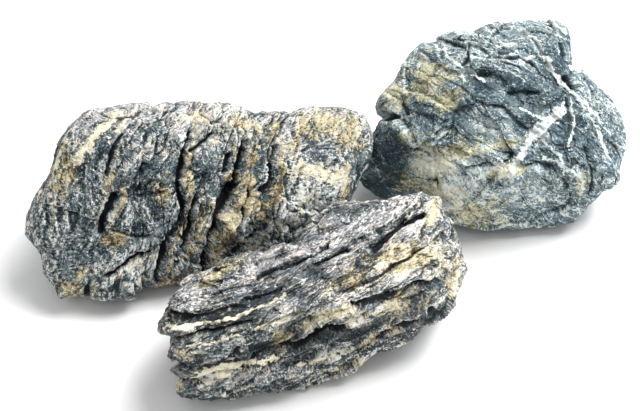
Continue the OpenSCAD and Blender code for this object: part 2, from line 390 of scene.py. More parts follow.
def ball_grid(counts):
    """A closed ball of quads: the skin of a block of so many cells along x, y and z, blown up.
    Gives the directions of its points and its quads, which turn outwards."""
    sheets, quads, base = [], [], 0
    for axis, end in product(range(3), (0, 1)):
        a, b = (axis + 1) % 3, (axis + 2) % 3
        u, v = np.meshgrid(np.arange(counts[a] + 1), np.arange(counts[b] + 1), indexing="ij")
        sheet = np.empty(u.shape + (3,), int)
        sheet[..., axis] = end * counts[axis]
        sheet[..., a] = u
        sheet[..., b] = v
        index = base + np.arange(u.size).reshape(u.shape)
        ring = [index[:-1, :-1], index[1:, :-1], index[1:, 1:], index[:-1, 1:]]
        quads.append(np.stack(ring if end else ring[::-1], axis=-1).reshape(-1, 4))
        sheets.append(sheet.reshape(-1, 3))
        base += u.size
    whole = np.concatenate(sheets)
    key = (whole[:, 0] * (counts[1] + 1) + whole[:, 1]) * (counts[2] + 1) + whole[:, 2]
    _, kept, place = np.unique(key, return_index=True, return_inverse=True)
    ways = np.tan((whole[kept] * 2 / np.array(counts) - 1) * np.pi / 4)
    return ways / np.linalg.norm(ways, axis=1, keepdims=True), place[np.concatenate(quads)]


def body_reach(ways, shape):
    """Distance from the heart to the smooth body in each direction. Over the outline of radius
    R it swells to the depth D: (across / R)^q + (out / D)^q = 1. Facets cut it by adding
    (reach / facet)^p to that, each faded towards the outline, and so does the ground."""
    corners = np.array(shape["outline"], float)
    turn = np.arctan2(corners[:, 1], corners[:, 0])
    rim = np.interp(np.arctan2(ways[:, 1], ways[:, 0]), turn,
                    np.linalg.norm(corners, axis=1), period=2 * np.pi)
    q, p = shape["fullness"], shape["crispness"]
    across = np.linalg.norm(ways[:, :2], axis=1) / rim
    out = np.abs(ways[:, 2]) / np.where(ways[:, 2] > 0, shape["front"], shape["back"])
    total = (across ** q + out ** q) ** (p / q)
    shown = 1 - np.exp(-(ways[:, 2] / shape["facet_fade"]) ** 2)
    for facet in np.array(shape["facets"], float):
        total += shown * (np.maximum(0, ways @ facet) / (facet @ facet)) ** p
    up = shape["up"]
    foot = -up * (shape["heart"][2] - shape["foot_gap"]) / (up @ up)
    total += (np.maximum(0, ways @ foot) / (foot @ foot)) ** p
    return total ** (-1 / p)


def lumps(p, height=1.6, long=47.0, short=21.0):
    """Two products of sines that repeat at a long and at a short length."""
    wave = 2 * np.pi
    x, y, z = p.T
    wide = np.sin(wave * (x + 0.4 * y) / long) * np.cos(wave * (y - z) / long)
    fine = np.sin(wave * (y + 0.5 * z) / short) * np.sin(wave * (x - z) / short)
    return height * (wide + 0.6 * fine)


def blurred(values, edges, rounds):
    """The values after so many rounds of moving each one halfway to the mean of the values at
    the far ends of its edges. The edges run both ways."""
    near, far = edges
    number = np.bincount(near)
    for _ in range(rounds):
        values = 0.5 * values + 0.5 * np.bincount(near, values[far]) / number
    return values


def surface_normals(points, quads, edges, rounds):
    """Outward normals: crossed diagonals of the quads, summed at the points and blurred."""
    a, b, c, d = (points[quads[:, i]] for i in range(4))
    crossed = np.cross(c - a, d - b)
    normals = np.stack([
        blurred(np.bincount(quads.ravel(), np.repeat(crossed[:, i], 4)), edges, rounds)
        for i in range(3)], axis=1)
    return normals / np.linalg.norm(normals, axis=1, keepdims=True)


def clefts(places, lines, wobble, gentle=1.0):
    """Depth of the open clefts, how far their floors are painted dark as shade, and how stained
    they are. A cleft has a steep wall on its left, and one on its right that is so many times
    wider and stained. It wanders."""
    depth, dark = np.zeros(len(places)), np.zeros(len(places))
    stain = np.zeros(len(places))
    for half_width, deep, path in lines:
        off = off_path(places + wobble, path) / half_width
        wall = np.where(off > 0, off / gentle, off)
        depth = np.maximum(depth, deep / (1 + wall ** 4))
        floor = np.exp(-(off / DARK_WIDTH) ** 2)
        flank = np.exp(-((off - STAIN_OFF) / STAIN_WIDTH) ** 2)
        dark = np.maximum(dark, floor * min(deep / DARK_DEPTH, 1.4))
        stain = np.maximum(stain, flank * min(deep / STAIN_DEPTH, 0.9))
    return depth, dark, stain


def wobbles(p, size, height, seed):
    """Two noises that shift places on the face."""
    return np.stack([fractal(p, size, seed + i, 4, 0.7) for i in (0, 10)], axis=1) * height


def turned(points, degrees):
    """How far points lie along a direction on the face, and how far to its left."""
    c, s = np.cos(radians(degrees)), np.sin(radians(degrees))
    return points[:, 0] * c + points[:, 1] * s, points[:, 1] * c - points[:, 0] * s


def stretches(p, seed, low, high, size=14):
    """1 on some stretches and 0 on others, by a noise of that size."""
    return smooth_step(fractal(p, size, seed, 2), low, high)


def fissured_relief(p, shape):
    """Ridges that rise gently to the right and drop into steep fissures, over chipped rock."""
    seed = shape["seed"]
    along, left = turned(p, 74)
    across = 6 * fractal(p, 38, seed + 3, 3) - left
    ribbed = smooth_step(p[:, 0], -55, -15) * (1 - smooth_step(p[:, 0], 45, 75))
    ribbed = 0.18 + 0.82 * ribbed * (0.6 + 0.4 * fractal(p, 30, seed + 4, 2))
    grain = np.stack([across, along * 0.26, p[:, 2] * 0.6], axis=1)
    turns = across / 17 + 0.35 * fractal(grain, 12, seed + 5, 2)
    ridges = 2.6 * saw(turns) * ribbed
    ridges += 1.1 * saw(across / 7 + 0.9 * fractal(grain, 9, seed + 6, 2), 0.25) * ribbed
    # Painted shade: dark lines where a ridge drops away.
    gap_shade = seam(turns, 0.045) * stretches(grain, seed + 17, 0.0, 0.3) * ribbed
    slits = 4 * ribbed / (1 + (gradient_noise(grain / 9, seed + 7) / 0.035) ** 2)
    chips, shade = chipped(
        (p / 42, seed + 10, 2.4, 0.3), (grain / 11, seed + 11, 0.6 + ribbed, 0.6),
        (grain * (1, 1.7, 1) / 4.6, seed + 12, 0.5 + 0.6 * ribbed, 0.6),
        (grain * (1, 2.2, 1) / 2.3, seed + 13, 0.5, 0.6))
    pocked = np.exp(-((p[:, 0] + 26) ** 2 + (p[:, 1] - 36) ** 2) / 260) * (p[:, 2] > 0)
    pits = 1.8 * np.clip(1.1 - cells(p / 4.5, seed + 9)[0] * 1.6, 0, 1) * pocked
    facing = smooth_step(p[:, 2], *CUT_FADE)
    cut, dark, stain = clefts(p[:, :2], shape["clefts"], wobbles(p, 9, 1.3, seed + 15), 1.15)
    return ridges - slits + chips - pits - cut * facing, {
        "grain": np.stack([across, along, p[:, 2]], axis=1),
        # cut: cleft floors, slits and gaps, painted dark as shade.
        "cut": np.maximum(np.maximum(dark * facing, slits / 5), gap_shade),
        "stain": 2 * stain * facing - 1, "chip": shade,
        "streak": 0.8 * ribbed * fractal(grain * (1, 0.6, 0.5), 9, seed + 20, 3)}


def veined_relief(p, shape):
    """Blunt plates with steps between them, which run down to the right, and small chips."""
    seed = shape["seed"]
    bent = p + 3 * np.stack([fractal(p, 26, seed + i, 3) for i in range(3)], axis=1)
    along, across = turned(bent, -28)
    grain = np.stack([along * 0.5, across, bent[:, 2] * 0.7], axis=1)
    turns = -across / 19 + 0.6 * fractal(grain, 16, seed + 8, 2)
    steps = 1.2 * saw(turns, 0.12)
    # Painted shade: dark lines where a step drops.
    gap_shade = seam(turns, 0.035) * stretches(grain, seed + 17, 0.0, 0.3)
    slits = 0.7 / (1 + (gradient_noise(grain / 11, seed + 10) / 0.025) ** 2)
    chips, shade = chipped(
        (bent / 44, seed + 4, 3.6, 0.4), (grain / 15, seed + 5, 1.5, 0.6),
        (grain / 6.5, seed + 6, 0.6, 0.6), (grain / 3, seed + 7, 0.4, 0.5))
    facing = smooth_step(p[:, 2], *CUT_FADE)
    cut, dark, stain = clefts(p[:, :2], shape["clefts"], wobbles(p, 10, 1.2, seed + 15))
    return steps + chips - slits - cut * facing - 1.0, {
        "grain": np.stack([along, across, bent[:, 2]], axis=1),
        # cut: cleft floors, slits and gaps, painted dark as shade.
        "cut": np.maximum(np.maximum(dark * facing, slits / 2), 0.9 * gap_shade),
        "stain": stain * 0.3 - 1, "chip": shade,
        "streak": 0.4 * fractal(grain * (0.4, 1, 0.7), 11, seed + 20, 3)}


def layered_relief(p, shape):
    """A stack of layers that bends down to the left. Broken flakes lie in it, and each layer
    is undercut. The coarse flakes are lower on top."""
    seed = shape["seed"]
    x, y, z = p.T
    rise = 0.5 * x + 0.0025 * np.minimum(x + 10, 0) ** 2
    level = (y - rise) * 0.9 + 0.3 * z + 2.2 * fractal(p * (0.5, 1, 1), 26, seed + 1, 3)
    grain = np.stack([x * 0.3, level, z * 0.45], axis=1)
    side = 1 - 0.6 * smooth_step(p @ shape["up"] / np.linalg.norm(p, axis=1), 0.45, 0.8)
    turns = -level / 12.5 + 0.5 * fractal(grain, 14, seed + 7, 2)
    thin = -level / 5.2 + 0.6 * fractal(grain, 9, seed + 8, 2)
    undercut = 4.0 * saw(turns, 0.15) + 1.8 * saw(thin, 0.2)
    patchy = stretches(grain, seed + 17, -0.25, 0.15, 16)
    # Painted shade: dark lines under the undercut layers.
    gap_shade = np.maximum(seam(turns, 0.07), 0.8 * seam(thin, 0.09) * patchy) * patchy * side
    chips, shade = chipped(
        (grain / 11, seed + 3, 2.6 * side, 0.7), (grain / 5.5, seed + 4, 2.0 * side, 0.8),
        (grain * (1.4, 1, 1) / 3, seed + 5, 0.9, 0.6),
        (grain * (2, 1, 1.5) / 1.8, seed + 6, 0.4, 0.4))
    facing = smooth_step(z, *CUT_FADE)
    cut, dark, stain = clefts(p[:, :2], shape["clefts"], wobbles(p, 9, 1.2, seed + 10))
    return undercut * side + chips - cut * facing - 1.5, {
        # cut: cleft floors and gaps, painted dark as shade.
        "grain": np.stack([x, level, z], axis=1), "cut": np.maximum(dark * facing, gap_shade),
        "stain": stain * 0.3 - 1, "chip": shade,
        "streak": side * (fractal(grain * (0.25, 1, 0.3), 9, seed + 20, 3) - 0.2)}


RELIEFS = {LEFT_STONE: fissured_relief, RIGHT_STONE: veined_relief, FRONT_STONE: layered_relief}


def write_mesh(name, points, quads):
    """A smooth shaded mesh of quads, from points in millimetres."""
    mesh = bpy.data.meshes.new(name)
    mesh.vertices.add(len(points))
    mesh.vertices.foreach_set("co", (points * MM).astype(np.float32).ravel())
    mesh.loops.add(quads.size)
    mesh.loops.foreach_set("vertex_index", quads.astype(np.int32).ravel())
    mesh.polygons.add(len(quads))
    mesh.polygons.foreach_set("loop_start", np.arange(0, quads.size, 4, dtype=np.int32))
    mesh.update(calc_edges=True)
    mesh.validate()
    mesh.shade_smooth()
    return mesh


def write_fields(mesh, fields):
    """Stores a number or a vector for every point, under its own title."""
    for title, values in fields.items():
        single = values.ndim == 1
        layer = mesh.attributes.new(title, "FLOAT" if single else "FLOAT_VECTOR", "POINT")
        layer.data.foreach_set("value" if single else "vector",
                               values.astype(np.float32).ravel())


def standing(p, shape):
    """Points of a stone's face frame, leant back, turned, and set down at its heart."""
    lean = shape["lean"]
    out = p[:, 2] - shape["skew"] * p[:, 0]
    return shape["heart"] + np.stack([
        p[:, 0],
        p[:, 1] * np.sin(lean) - out * np.cos(lean),
        p[:, 1] * np.cos(lean) + out * np.sin(lean),
    ], axis=1)


def stone_mesh(name, shape):
    """The stone's surface: the smooth body with its lumps, raised along its normals by the
    relief, and cut off flat at the ground. Lumps and relief are lower at the outline."""
    ways, quads = ball_grid(shape["cells"])
    edges = np.concatenate([quads, np.roll(quads, 1, axis=1)]).reshape(2, -1)
    ways = (ways + (0, 0, shape["forward"])) * np.array(shape["half"])
    ways /= np.linalg.norm(ways, axis=1, keepdims=True)
    smooth = body_reach(ways, shape)
    p = smooth[:, None] * ways
    off_rim = np.abs(ways[:, 2])
    p = (smooth + np.minimum(1, 0.25 + 2 * off_rim) * lumps(p))[:, None] * ways
    relief, fields = RELIEFS[name](p, shape)
    relief = relief * (0.5 + 0.5 * smooth_step(off_rim, 0.02, 0.25))
    raised = surface_normals(p, quads, edges, RAISE_ROUNDS) + shape["overhang"]
    raised /= np.linalg.norm(raised, axis=1, keepdims=True)
    p = p + raised * relief[:, None]
    spot = standing(p, shape)
    spot[:, 2] = np.maximum(spot[:, 2], 0)
    normals = surface_normals(spot, quads, edges, 0)

    for title, rounds in (("hollow", NEAR_ROUNDS), ("dip", WIDE_ROUNDS)):
        mean = np.stack([blurred(spot[:, i], edges, rounds) for i in range(3)], axis=1)
        fields[title] = ((mean - spot) * normals).sum(axis=1)
    fields["up"] = blurred(normals[:, 2], edges, UP_ROUNDS)
    front = smooth_step(p[:, 2], *DRAWN_FADE)
    streak = fields.pop("streak")
    fields["patch"] = patch_field(p[:, :2], shape["patches"]) * front
    fields["patch"] += BACK_CRUST * (1 - front) + STREAK_CRUST * streak
    fields["shade"] = shade_field(p[:, :2], shape["shades"]) * front + streak
    bent = p[:, :2] + wobbles(p, 12, 2.4, shape["seed"] + 30)
    fields["vein"] = vein_field(bent, shape["veins"]) + FAR * (1 - front)
    fields["face"] = p
    mesh = write_mesh(name + "_rock", spot, quads)
    write_fields(mesh, fields)
    return mesh


# ---- Shader writing


class Sheet:
    """A node tree being written: one call for each node. An input is a socket or a value."""

    def __init__(self, tree):
        self.tree = tree

    def node(self, kind, inputs=None, **settings):
        made = self.tree.nodes.new(kind)
        for key, value in settings.items():
            setattr(made, key, value)
        for key, value in (inputs or {}).items():
            if isinstance(value, bpy.types.NodeSocket):
                self.tree.links.new(value, made.inputs[key])
            else:
                made.inputs[key].default_value = value
        return made

    def maths(self, operation, *values, clamp=False):
        made = self.node("ShaderNodeMath", dict(enumerate(values)), operation=operation,
                         use_clamp=clamp)
        return made.outputs[0]

    def total(self, *terms):
        """Sum of (socket, weight) terms."""
        value = 0.0
        for socket, weight in terms:
            value = self.maths("MULTIPLY_ADD", socket, weight, value)
        return value

    def vector(self, operation, *values, out=0):
        made = self.node("ShaderNodeVectorMath", dict(enumerate(values)), operation=operation)
        return made.outputs[out]

    def scaled(self, vector, scale):
        made = self.node("ShaderNodeVectorMath", {0: vector, 3: scale}, operation="SCALE")
        return made.outputs[0]

    def centred(self, noise):
        """A noise of 0 to 1, brought to about -0.5 to 0.5."""
        return self.maths("SUBTRACT", noise, 0.5)

    def noise(self, vector, size=1.0, detail=3.0, rough=0.55, twist=0.0, out="Fac"):
        """Noise in steps of the size, which is one length or three."""
        if not isinstance(size, float):
            vector, size = self.vector("DIVIDE", vector, size), 1.0
        made = self.node("ShaderNodeTexNoise", {"Vector": vector, "Scale": 1 / size,
                         "Detail": detail, "Roughness": rough, "Distortion": twist})
        return made.outputs[out]

    def ramp(self, value, low, high, start=0.0, end=1.0):
        """start below low, end above high, and a smooth step between them."""
        made = self.node("ShaderNodeMapRange", {"Value": value, "From Min": low, "From Max": high,
                         "To Min": start, "To Max": end}, interpolation_type="SMOOTHSTEP")
        return made.outputs["Result"]

    def mix(self, share, a, b, blend="MIX"):
        made = self.node("ShaderNodeMix", {0: share, 6: a, 7: b}, data_type="RGBA",
                         blend_type=blend)
        return made.outputs[2]

    def attribute(self, name, out="Fac"):
        return self.node("ShaderNodeAttribute", attribute_name=name).outputs[out]

    def group(self, tree, inputs):
        return self.node("ShaderNodeGroup", inputs, node_tree=tree).outputs


def new_group(name, inputs, outputs, write):
    """A shader node group with named sockets, filled by write(sheet, its inputs)."""
    tree = bpy.data.node_groups.new(name, "ShaderNodeTree")
    for side, sockets in (("INPUT", inputs), ("OUTPUT", outputs)):
        for kind, titles in sockets.items():
            for title in titles.split():
                tree.interface.new_socket(title, in_out=side, socket_type="NodeSocket" + kind)
    sheet = Sheet(tree)
    given = sheet.node("NodeGroupInput").outputs
    sheet.node("NodeGroupOutput", write(sheet, given))
    return tree


def write_threads(sheet, given):
    """Thin wandering lines, where a noise crosses its middle, which fade in and out."""
    cell = sheet.vector("DIVIDE", given["Grain"], given["Size"])
    value = sheet.noise(cell, 1.0, 3, 0.55, 0.3)
    off = sheet.maths("ABSOLUTE", sheet.centred(value))
    fade = sheet.ramp(sheet.noise(cell, 2.3, 2), 0.4, 0.62)
    width = sheet.maths("MULTIPLY", given["Width"], fade)
    line = sheet.maths("DIVIDE", off, sheet.maths("MAXIMUM", width, 0.0001))
    return {"Line": sheet.ramp(line, 1.0, 0.3)}


def write_weather_and_light(sheet, given):
    """Dirt with painted shade in hollows, painted shade on the floors of clefts, and wear with
    painted highlight on crests, each from how far a place lies below or above its
    surroundings, nearby and farther off."""
    speck = sheet.centred(sheet.noise(given["Place"], 1.3, 3, 0.7))
    near = sheet.maths("MULTIPLY_ADD", speck, 0.35, given["Hollow"])
    far = sheet.maths("MULTIPLY_ADD", speck, 1.5, given["Dip"])
    cut = sheet.maths("MULTIPLY_ADD", speck, 0.9, given["Cut"])
    return {
        # Dirt with painted shade: darker in hollows and in wide dips.
        "Dirt": sheet.maths("MAXIMUM", sheet.ramp(near, 0.03, 0.3), sheet.ramp(far, 0.3, 1.6)),
        # Painted shade on the floors of clefts, slits and gaps, and in the deepest dips.
        "Deep": sheet.maths("MAXIMUM", sheet.ramp(cut, 0.5, 0.8), sheet.ramp(far, 1.4, 2.7)),
        # Wear with painted highlight: lighter on crests.
        "Wear": sheet.maths("MAXIMUM", sheet.ramp(near, -0.04, -0.28),
                            sheet.ramp(far, -0.6, -2.0, 0.0, 0.6)),
    }


def write_crust(sheet, given):
    """Ragged crust: the drawn patches and the hollows, broken up by coarse and by fine noise,
    and how thick it lies there."""
    coarse = sheet.noise(given["Grain"], 8.0, 4, 0.7, 0.5)
    fine = sheet.noise(given["Place"], 1.6, 3, 0.75)
    field = sheet.total((given["Patch"], 1.0), (coarse, 4.0), (fine, 3.4), (given["Dirt"], 0.2))
    field = sheet.maths("SUBTRACT", field, 3.75)
    return {"Cover": sheet.ramp(field, 0.24, 0.34), "Thick": sheet.ramp(field, 0.2, 1.6)}


def small_chips(sheet, given):
    """Three sizes of broken cells: a random shade of each chip, and its tilted flat face."""
    shake = sheet.noise(given["Place"], 2.2, 3, 0.6, out="Color")
    shaken = sheet.vector("MULTIPLY_ADD", shake, (2.2, 2.2, 2.2), given["Grain"])
    shades, flats = [], []
    for size in (1.4, 0.6, 0.25):
        spot = sheet.vector("DIVIDE", shaken, sheet.scaled(given["Fibre"], size))
        chip = sheet.node("ShaderNodeTexVoronoi", {"Vector": spot, "Scale": 1.0}).outputs
        chance = sheet.vector("SUBTRACT", chip["Color"], (0.5, 0.5, 0.5))
        shades.append(sheet.node("ShaderNodeSeparateXYZ", {0: chance}).outputs[0])
        away = sheet.vector("SUBTRACT", spot, chip["Position"])
        flats.append(sheet.vector("DOT_PRODUCT", away, chance, out=1))
    return shades, flats


def hair_lines(sheet, given):
    """Three sets of threads: broad white ones, fine white ones and fine black ones."""
    fine = sheet.scaled(given["Thread"], 0.4)
    return [sheet.group(GROUPS["threads"], {
        "Grain": sheet.vector("ADD", given["Grain"], shift), "Size": size, "Width": width})[0]
        for shift, size, width in (((0, 0, 0), given["Thread"], 0.035),
                                   ((37, 11, 5), fine, 0.045), ((7, 91, 23), fine, 0.05))]


def write_rock(sheet, given):
    """Colour and height of bare rock. A tone, from noises, from small chips, from the mesh's
    own chips, from the drawn shades, from how far up a place faces as painted light and shade,
    and from dirt and wear with painted shade and highlight, runs from dark to pale. The tint
    wanders."""
    place = given["Place"]
    fibres = sheet.noise(sheet.vector("DIVIDE", given["Grain"], given["Fibre"]), 1.0, 2, 0.85)
    mottle = sheet.noise(place, 8.0, 4, 0.8, 0.2)
    grit = sheet.noise(place, 1.7, 2, 0.85)
    clouds = sheet.noise(place, 24.0, 3, 0.6)
    specks = sheet.ramp(sheet.noise(place, 1.2, 2, 0.6), 0.6, 0.65)
    specks = sheet.maths("MULTIPLY", specks, sheet.ramp(clouds, 0.35, 0.5))
    chips, flats = small_chips(sheet, given)
    white, hair, black = hair_lines(sheet, given)
    busy = sheet.total((sheet.centred(fibres), 0.9), (sheet.centred(mottle), 2.3),
                       (sheet.centred(grit), 2.4), (sheet.centred(clouds), 1.4),
                       *zip(chips, (0.35, 0.4, 0.4)), (given["Chip"], 0.2))
    calm = sheet.noise(sheet.vector("ADD", place, (30, 70, 10)), 17.0, 2, 0.6)
    calm = sheet.maths("MULTIPLY", given["Contrast"], sheet.ramp(calm, 0.36, 0.6, 0.4, 1.35))
    calm = sheet.maths("MULTIPLY", calm, sheet.ramp(given["Up"], 0.2, 1.0, 1.1, 0.6))
    # Tone: lighter on faces turned up and darker on faces turned down, as painted light and shade;
    # darker with dirt and painted shade in hollows; lighter with wear and painted highlight on
    # crests.
    tone = sheet.total((sheet.maths("MULTIPLY", busy, calm), 1.0), (given["Shade"], 1.0),
                       (given["Up"], 0.35), (given["Wear"], 0.5), (given["Dirt"], -0.85),
                       (white, 0.8), (hair, 0.5), (black, -0.6), (specks, 1.0))
    tone = sheet.maths("ADD", tone, -0.1)
    colour = sheet.mix(sheet.ramp(tone, -0.8, 0.05), given["Dark"], given["Middle"])
    colour = sheet.mix(sheet.ramp(tone, -0.05, 0.6), colour, given["Light"])
    colour = sheet.mix(sheet.ramp(tone, 0.5, 1.0), colour, given["Pale"])
    hue = sheet.noise(sheet.vector("ADD", place, (50, 20, 90)), 9.0, 4, 0.8)
    tint = sheet.mix(sheet.ramp(hue, 0.4, 0.62), (0.93, 1.0, 1.06, 1.0), (1.04, 1.0, 0.95, 1.0))
    colour = sheet.mix(1.0, colour, tint, "MULTIPLY")
    height = sheet.total((fibres, 0.6), (mottle, 1.4), (black, -0.4), (white, 0.1),
                         *zip(flats, (2.6, 1.7, 0.9)), (grit, 0.5), (specks, 0.1))
    return {"Color": colour, "Tone": tone, "Height": height}


def write_veins(sheet, given):
    """1 inside the drawn veins and 0 outside, with ragged sides, from how many half widths of
    the nearest vein a place lies off it."""
    ragged = sheet.ramp(sheet.noise(given["Place"], 3.5, 4, 0.75), 0.3, 0.66, 0.3, 2.0)
    return {"Inside": sheet.ramp(sheet.maths("SUBTRACT", ragged, given["Off"]), -0.12, 0.2)}


# Title, inputs, outputs and writer of each group. A group stands after those that it uses.
GROUP_PARTS = {
    "threads": ("Threads", {"Vector": "Grain Size", "Float": "Width"}, {"Float": "Line"},
                write_threads),
    "weather_and_light": ("Weathering and painted light", {"Vector": "Place", "Float": "Hollow Dip Cut"},
                {"Float": "Dirt Deep Wear"}, write_weather_and_light),
    "veins": ("Drawn veins", {"Vector": "Place", "Float": "Off"}, {"Float": "Inside"},
              write_veins),
    "crust": ("Crust", {"Vector": "Place Grain", "Float": "Patch Dirt"},
              {"Float": "Cover Thick"}, write_crust),
    "rock": ("Bare rock", {"Vector": "Place Grain Fibre Thread",
                           "Float": "Chip Shade Up Wear Dirt Contrast",
                           "Color": "Dark Middle Light Pale"},
             {"Color": "Color", "Float": "Tone Height"}, write_rock),
}
GROUPS = {}


def build_groups():
    """Fills GROUPS with the shared node groups, the first time only."""
    for key, parts in GROUP_PARTS.items():
        if key not in GROUPS:
            GROUPS[key] = new_group(*parts)


def new_material(name):
    material = bpy.data.materials.new(name)
    material.use_nodes = True
    material.node_tree.nodes.clear()
    return material, Sheet(material.node_tree)


def rock_material(name, finish, vein_colour):
    """One stone's material: bare rock, crust, veins, and painted shade on the floors of the
    clefts.
    """
    material, sheet = new_material(name)
    build_groups()
    field = {key: sheet.attribute(key) for key in (
        "up", "hollow", "dip", "cut", "chip", "shade", "patch", "stain", "vein")}
    place, grain = sheet.attribute("face", "Vector"), sheet.attribute("grain", "Vector")
    weather_and_light = sheet.group(GROUPS["weather_and_light"], {
        "Place": place, "Hollow": field["hollow"], "Dip": field["dip"], "Cut": field["cut"]})
    dirt_and_shade, wear_and_highlight = weather_and_light["Dirt"], weather_and_light["Wear"]
    rock = sheet.group(GROUPS["rock"], {
        "Place": place, "Grain": grain, "Fibre": millimetres(finish.fibre),
        "Thread": millimetres(finish.thread), "Chip": field["chip"], "Shade": field["shade"],
        "Up": field["up"], "Wear": wear_and_highlight, "Dirt": dirt_and_shade, "Contrast": finish.contrast,
        "Dark": finish.dark, "Middle": finish.middle, "Light": finish.light,
        "Pale": finish.vein})
    tone = rock["Tone"]
    blush = sheet.ramp(sheet.total((field["up"], 1.0), (tone, 0.15)), finish.blush_from,
                       finish.blush_from + 0.4, 0.0, 0.75)
    colour = sheet.mix(blush, rock["Color"],
                       sheet.mix(1.0, rock["Color"], finish.blush, "MULTIPLY"))
    crust = sheet.group(GROUPS["crust"], {
        "Place": place, "Grain": grain, "Dirt": dirt_and_shade,
        "Patch": sheet.maths("MAXIMUM", field["patch"], field["stain"])})
    stain = sheet.mix(sheet.ramp(tone, -0.9, 0.1), finish.crust_dark, finish.crust)
    stain = sheet.mix(sheet.ramp(tone, 0.1, 0.9), stain, finish.crust_pale)
    colour = sheet.mix(crust["Cover"], colour, stain)
    # Pale crust on worn crests, by a mask that also holds painted highlight.
    rim = sheet.ramp(sheet.noise(place, 13.0, 3, 0.6), 0.48, 0.6, 0.0, finish.rims)
    colour = sheet.mix(sheet.maths("MULTIPLY", wear_and_highlight, rim), colour, finish.crust_pale)
    # Painted shade: cleft floors, slits, gaps and the deepest dips take the cleft shade colour.
    colour = sheet.mix(weather_and_light["Deep"], colour, finish.soil)
    inside = sheet.group(GROUPS["veins"], {"Place": place, "Off": field["vein"]})[0]
    # Veins dim towards plain rock in hollows, by the mask of dirt and painted shade.
    shaded = sheet.mix(sheet.maths("MULTIPLY", dirt_and_shade, 0.45), vein_colour, finish.middle)
    colour = sheet.mix(inside, colour, shaded)
    height = sheet.total((rock["Height"], finish.bumps), (crust["Thick"], 0.3), (inside, 0.15))
    bump = sheet.node("ShaderNodeBump", {"Strength": 1.0, "Distance": MM, "Height": height})
    stone = sheet.node("ShaderNodeBsdfPrincipled", {
        "Base Color": colour, "Roughness": sheet.ramp(tone, -1.0, 1.0, 0.55, 0.85),
        "Normal": bump.outputs[0], "Specular IOR Level": 0.35})
    sheet.node("ShaderNodeOutputMaterial", {"Surface": stone.outputs[0]})
    return material


# ---- Settings


def number_prop(name, text, default, **more):
    return FloatProperty(name=name, description=text, default=default, **more)


def length_prop(name, text, default):
    return number_prop(name, text, default, unit="LENGTH")


def lengths_prop(name, text, default):
    """Three lengths, whose default is given in millimetres."""
    return FloatVectorProperty(name=name, description=text, default=[c * MM for c in default],
                               unit="LENGTH")


def colour_prop(name, text, default):
    return FloatVectorProperty(name=name, description=text, default=(*default, 1.0), size=4,
                               subtype="COLOR", min=0.0, max=1.0)


def millimetres(lengths):
    return tuple(length / MM for length in lengths)


class StoneBodySettings(bpy.types.PropertyGroup):
    """What the three stones have in common"""

    lean: number_prop("Lean", "How far the broad faces lean back from upright", radians(42),
                      subtype="ANGLE")
    fullness: number_prop("Fullness", "Boxiness of the swelling", 2.9)
    crispness: number_prop("Crispness", "Sharpness between facets", 12.0)
    facet_fade: number_prop("Facet fade", "Turn over which facets fade towards the outline",
                            0.16)
    foot_gap: length_prop("Foot gap", "Gap of the soft foot above the ground", 0.2 * MM)
    forward: number_prop("Forward", "How much finer the mesh is on the broad faces", 0.3)


COLOURS = {
    "dark": "Darkest rock", "middle": "Plain rock", "light": "Worn rock",
    "blush": "Tint of the top", "vein": "Veins and specks", "crust_pale": "Pale crust",
    # The cleft shade colour is painted shade on the floors of clefts and in the deepest dips.
    "crust": "Plain crust", "crust_dark": "Stained crust", "soil": "Bottom of the clefts",
}


def stone_settings(heart, skew, front, back, seed, cells, fibre, thread, blush_from, contrast,
                   bumps, rims, **colours):
    """The settings of one stone: its place, its depth, its mesh, its relief and its colours.
    Lengths are in millimetres."""
    made = {
        "heart": lengths_prop("Heart", "Point that the surface is measured from", heart),
        "skew": number_prop("Skew", "How much the face turns away to the right", skew),
        "front": length_prop("Front", "How far the body stands out of its outline", front * MM),
        "back": length_prop("Back", "How far the body reaches behind it", back * MM),
        "seed": IntProperty(name="Seed", description="Start of the relief's random draws",
                            default=seed),
        "cells": IntVectorProperty(name="Cells", description="Mesh cells along x, y and z",
                                   default=cells, min=8),
        "fibre": lengths_prop("Fibre", "Size of the fibres and chips along the grain", fibre),
        "thread": lengths_prop("Thread", "Size of the hair veins along the grain", thread),
        "blush_from": number_prop("Blush from", "How far up a place faces where the tint of "
                                  "the top starts", blush_from),
        "contrast": number_prop("Contrast", "Spread of the rock's tones", contrast),
        "bumps": number_prop("Bumps", "Height of the finest relief, millimetres", bumps),
        "rims": number_prop("Rims", "Pale crust on worn edges", rims),
    }
    for name, value in colours.items():
        made[name] = colour_prop(name.replace("_", " ").capitalize(), COLOURS[name], value)
    return made


class FissuredStoneSettings(bpy.types.PropertyGroup):
    """The long blocky stone on the left"""

    __annotations__ = stone_settings(
        heart=(-82, 4, 38), skew=0.2, front=40, back=58, seed=11, cells=(208, 122, 72),
        fibre=(3, 5, 4), thread=(9, 17, 12), blush_from=0.55, contrast=1.15, bumps=0.9,
        rims=0.3, dark=(0.006, 0.014, 0.024), middle=(0.094, 0.141, 0.148),
        light=(0.39, 0.40, 0.40), blush=(1.0, 0.92, 0.92), vein=(0.88, 0.88, 0.82),
        crust_pale=(0.91, 0.85, 0.64), crust=(0.60, 0.51, 0.31),
        crust_dark=(0.10, 0.075, 0.035), soil=(0.004, 0.006, 0.010))


